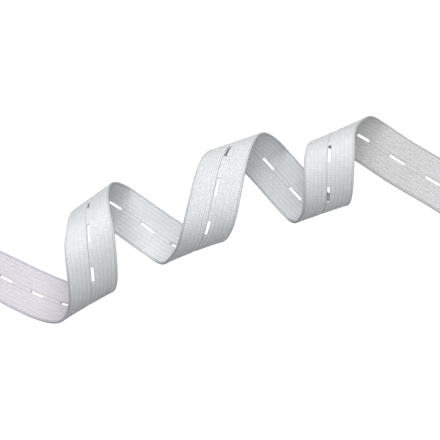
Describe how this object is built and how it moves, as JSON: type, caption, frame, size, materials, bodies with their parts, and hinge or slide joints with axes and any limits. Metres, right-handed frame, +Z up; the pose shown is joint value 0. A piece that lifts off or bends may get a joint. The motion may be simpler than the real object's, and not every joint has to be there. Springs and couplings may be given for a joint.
{
  "type": "curled length of buttonhole elastic",
  "caption": "Length of flat white buttonhole elastic curled into open loops, with lengthwise ribs on both faces and a row of slits along its middle.",
  "frame": {"origin": "middle of the bounding box, on the surface that the strip lies on", "axes": "+X along the run of the loops, from the left end to the right end; +Z up from the surface"},
  "size_m": [0.2421, 0.0876, 0.0476],
  "materials": {
    "elastic_white": "matt ribbed knit"
  },
  "bodies": {
    "root": {"elastic_strip": "elastic_white"}
  },
  "joints": []
}
